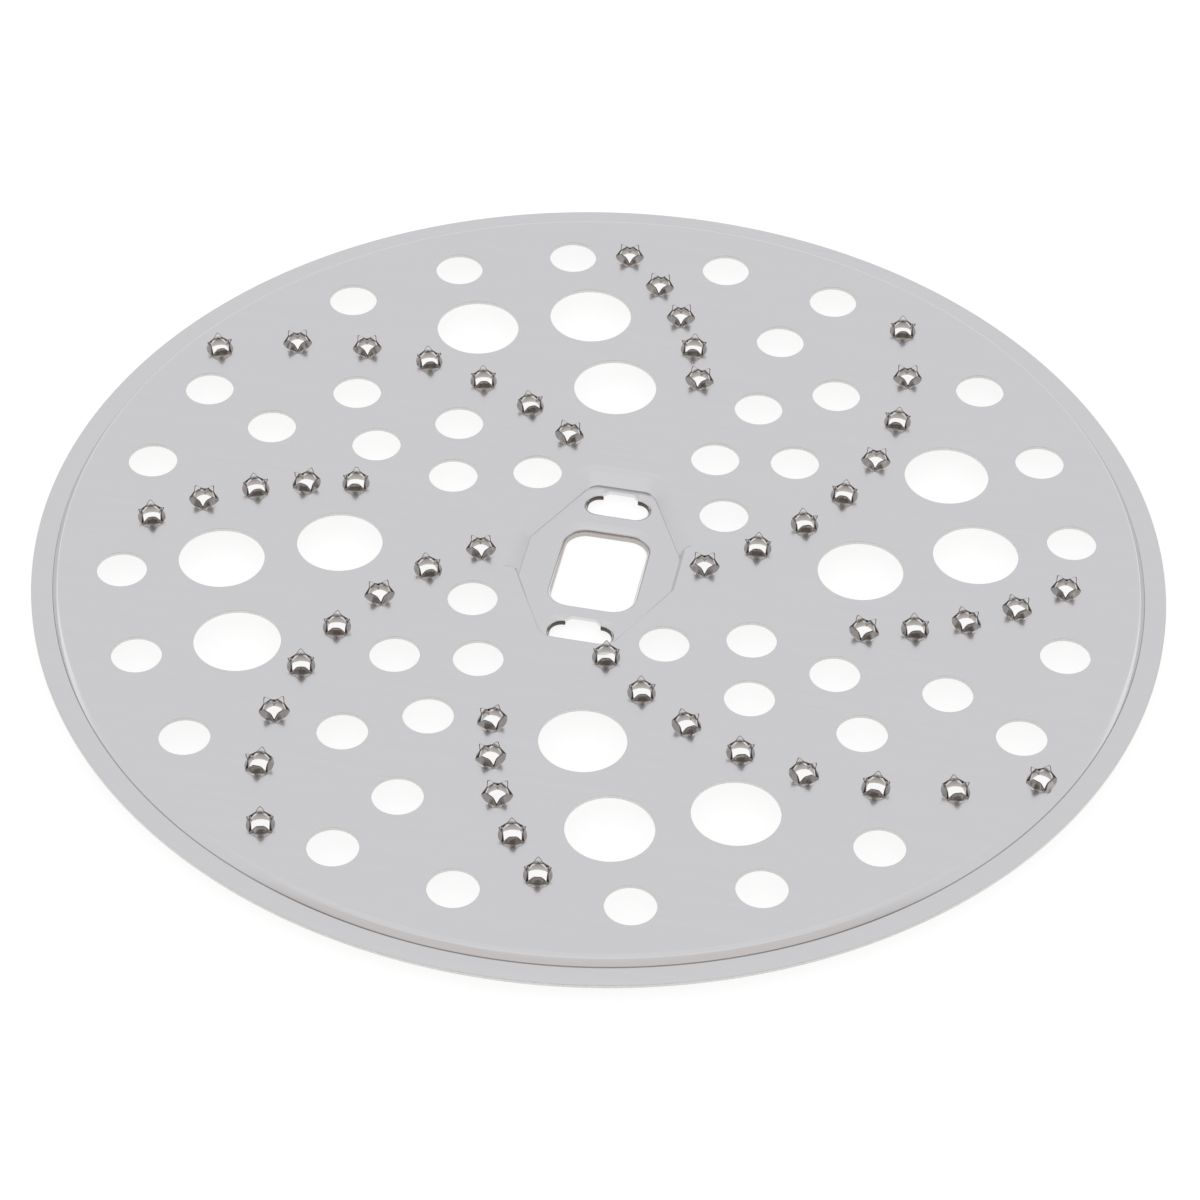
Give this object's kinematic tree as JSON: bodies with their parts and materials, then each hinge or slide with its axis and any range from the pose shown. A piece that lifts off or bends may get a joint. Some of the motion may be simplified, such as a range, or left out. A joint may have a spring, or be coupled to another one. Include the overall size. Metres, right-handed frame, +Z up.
{
  "type": "food processor grating disc",
  "caption": "Round stamped steel grating disc with curved rows of pierced star teeth, round drain holes, a stepped rim and a pressed hub pocket with a collared drive opening.",
  "frame": {"origin": "on the drive axis, at the lower edge of the drive collar, on which the disc stands", "axes": "+Z up along the drive axis, out of the side that carries the teeth; +Y along the hub pocket, from the axis to the slot whose notch meets the pocket's end wall; +X across the pocket"},
  "size_m": [0.148, 0.148, 0.005],
  "materials": {
    "stainless_sheet": "bright rolled stainless sheet with bare stamped edges"
  },
  "bodies": {
    "root": {"grating_disc": "stainless_sheet"}
  },
  "joints": []
}
